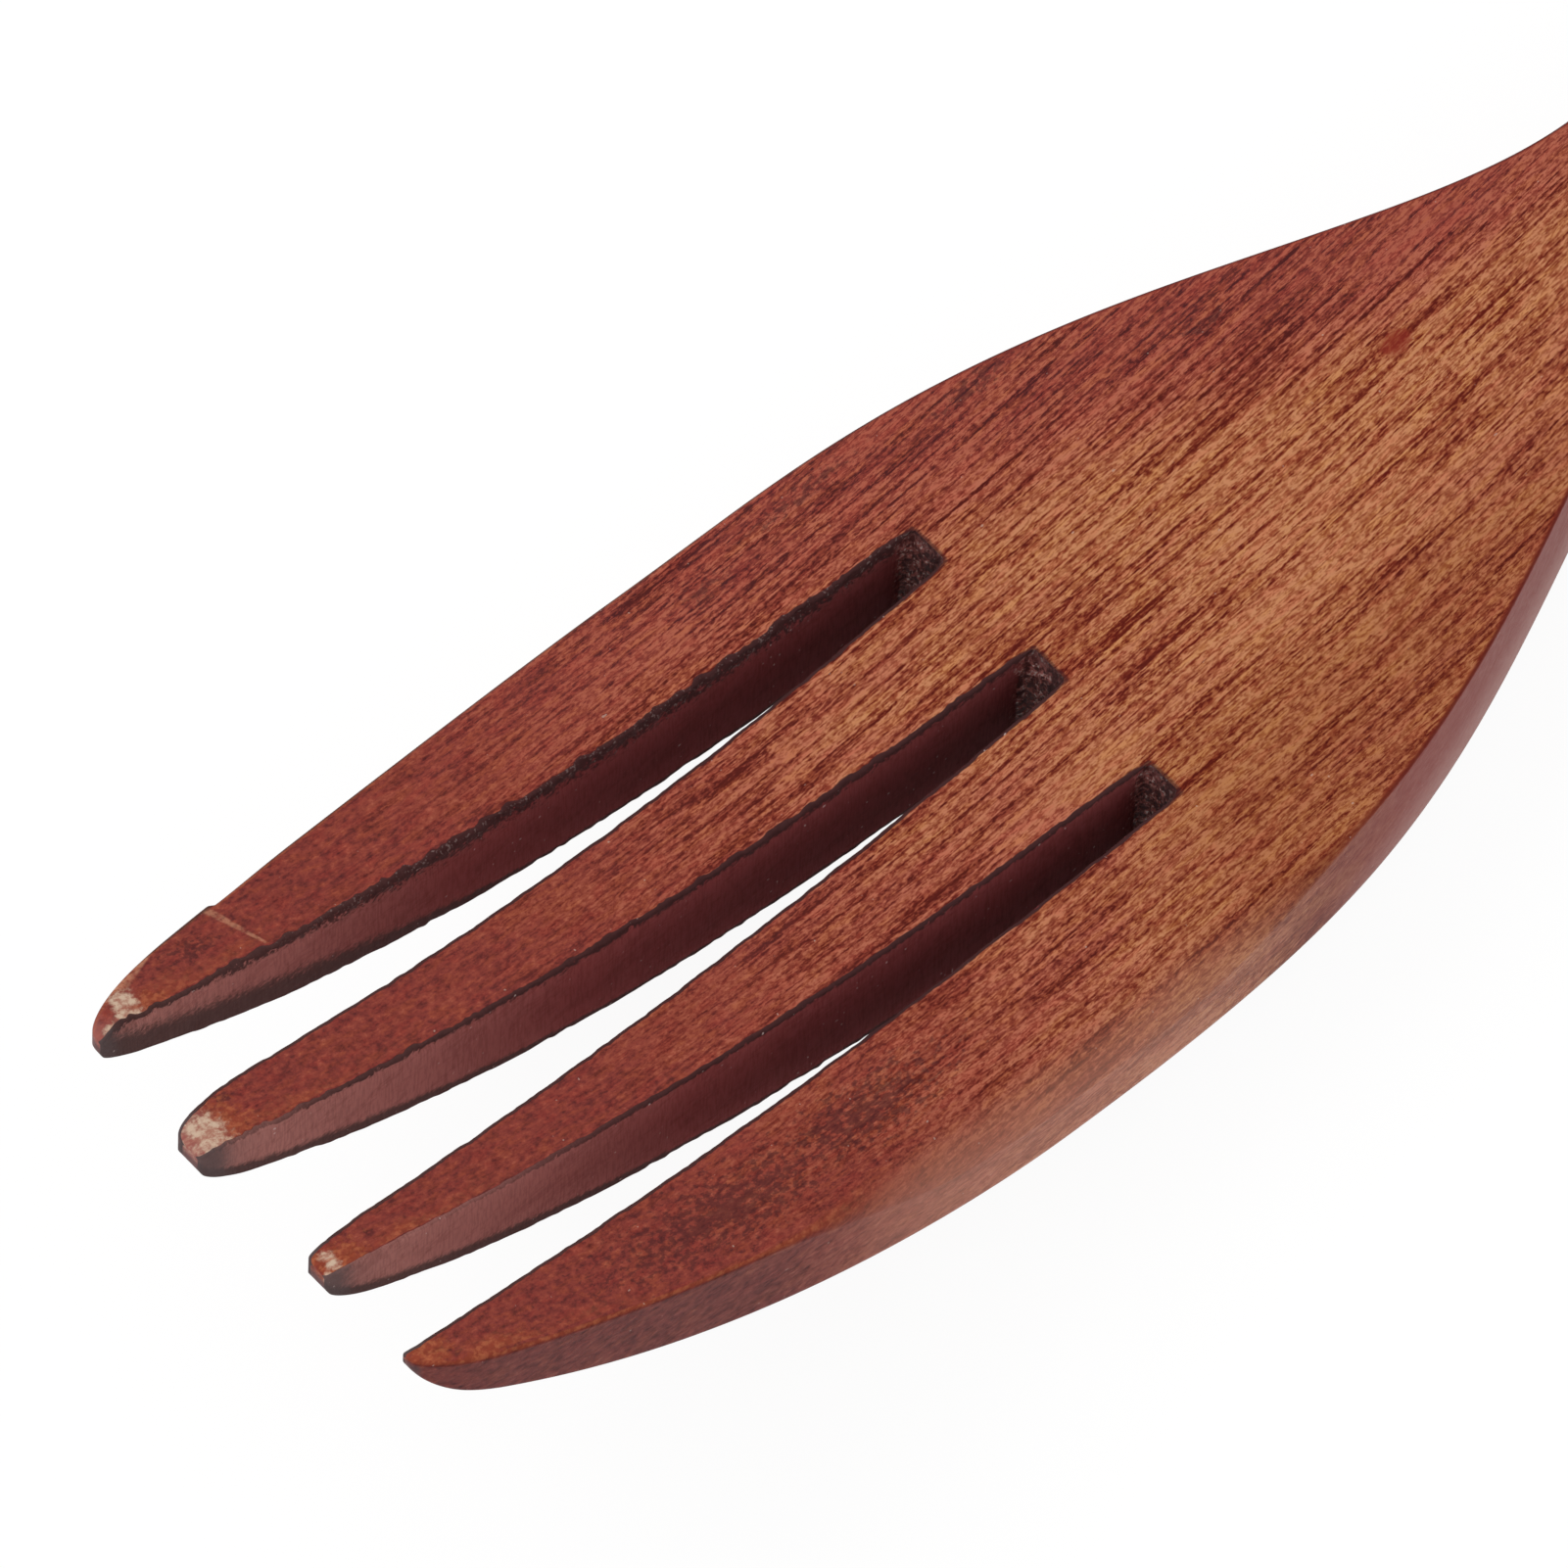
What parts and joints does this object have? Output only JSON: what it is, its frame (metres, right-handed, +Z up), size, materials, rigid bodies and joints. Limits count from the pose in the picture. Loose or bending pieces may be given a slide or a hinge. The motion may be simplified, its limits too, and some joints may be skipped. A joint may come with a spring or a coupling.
{
  "type": "wooden table fork",
  "caption": "Carved wooden table fork with curved, tapering tines, a broad palm, a waisted neck and a plain rounded handle, stained red-brown and lacquered.",
  "frame": {"origin": "on the table, under the middle of the fork's box", "axes": "+X from the tine tips to the end of the handle, +Y to the right of someone who holds the handle with the tips pointing away, +Z up from the table"},
  "size_m": [0.195, 0.035, 0.0279],
  "materials": {
    "tine_wood": "red-brown stain under worn satin lacquer, darker in the sawn slots",
    "palm_wood": "honey-brown stain under satin lacquer, open pores along the grain",
    "handle_wood": "honey-brown stain under satin lacquer, open pores along the grain"
  },
  "bodies": {
    "root": {"tine_1": "tine_wood", "tine_2": "tine_wood", "tine_3": "tine_wood", "tine_4": "tine_wood", "palm": "palm_wood", "neck": "handle_wood", "handle": "handle_wood"}
  },
  "joints": []
}
